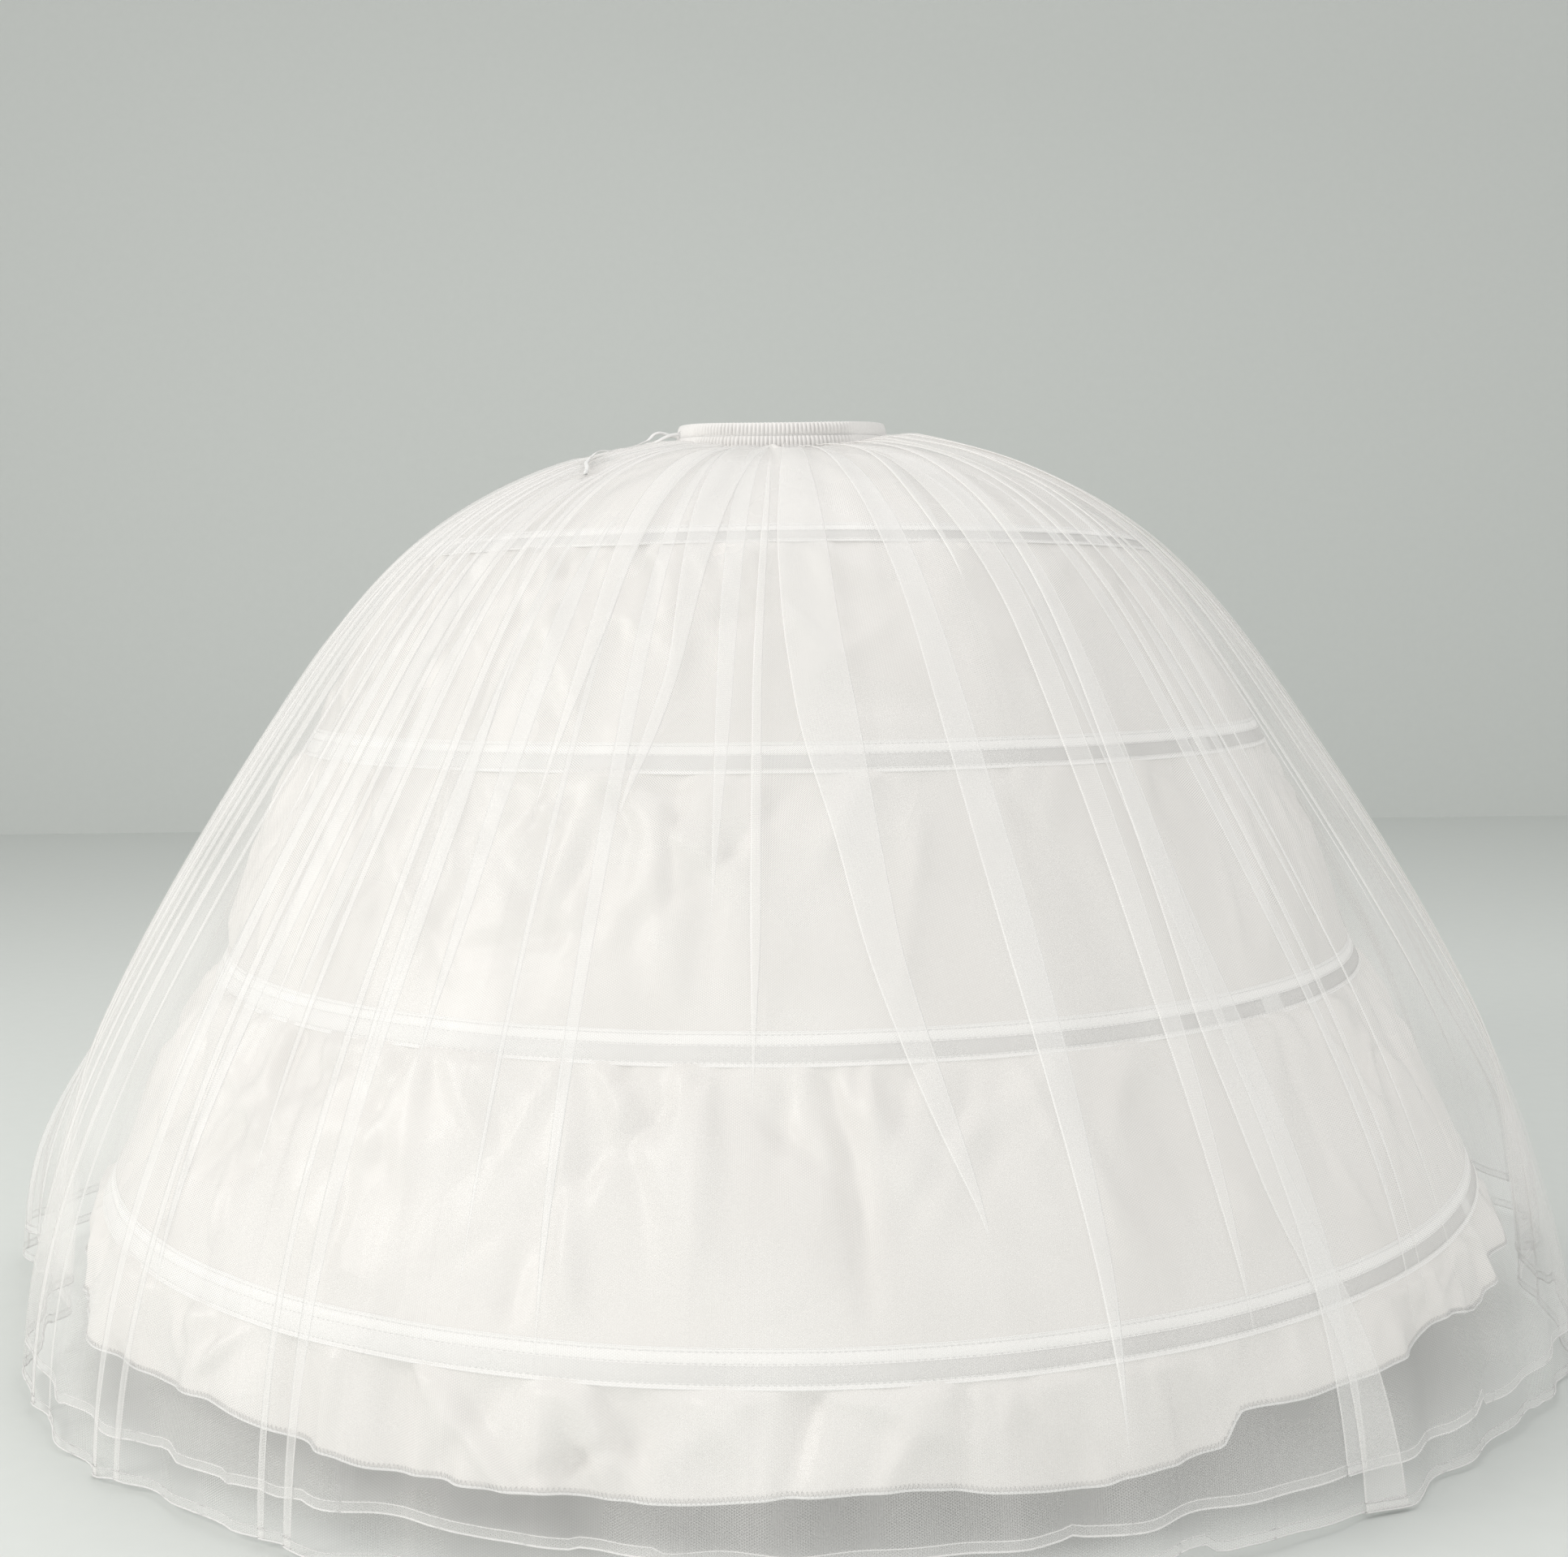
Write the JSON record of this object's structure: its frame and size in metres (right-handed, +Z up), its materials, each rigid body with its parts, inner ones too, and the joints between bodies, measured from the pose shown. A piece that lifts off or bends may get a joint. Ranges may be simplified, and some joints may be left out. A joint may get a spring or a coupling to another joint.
{
  "type": "hooped crinoline petticoat",
  "caption": "Floor-length petticoat whose satin lining carries steel hoops in casings, under layers of stiff tulle, with a shirred drawstring waistband.",
  "frame": {"origin": "centre of the waist opening, level with the waistband's top edge", "axes": "+Z up along the waist opening's axis, the wearer's front faces -Y, the wearer's left is +X"},
  "size_m": [1.5464, 1.5464, 0.884],
  "materials": {
    "waistband_satin": "white satin, shirred",
    "elastic_braid": "white braided elastic",
    "drawstring_tape": "white woven tape",
    "lining_satin": "white satin with a soft sheen",
    "casing_tape": "white woven tape, stitched at both edges",
    "spring_steel": "flat spring steel strip",
    "connector_plastic": "white moulded sleeve",
    "tulle_net": "stiff white net, see-through"
  },
  "bodies": {
    "root": {"waistband_casing": "waistband_satin", "waist_elastic": "elastic_braid", "drawstring": "drawstring_tape", "drawstring_front_end": "drawstring_tape", "drawstring_back_end": "drawstring_tape", "lining_yoke": "lining_satin", "lining_tier_2": "lining_satin", "lining_tier_3": "lining_satin", "lining_tier_4": "lining_satin", "lining_flounce": "lining_satin", "hoop_casing_1": "casing_tape", "hoop_casing_2": "casing_tape", "hoop_casing_3": "casing_tape", "hoop_casing_4": "casing_tape", "hoop_bone_1": "spring_steel", "hoop_bone_2": "spring_steel", "hoop_bone_3": "spring_steel", "hoop_bone_4": "spring_steel", "hoop_connector_1": "connector_plastic", "hoop_connector_2": "connector_plastic", "hoop_connector_3": "connector_plastic", "hoop_connector_4": "connector_plastic", "tulle_inner": "tulle_net", "tulle_outer": "tulle_net"}
  },
  "joints": []
}
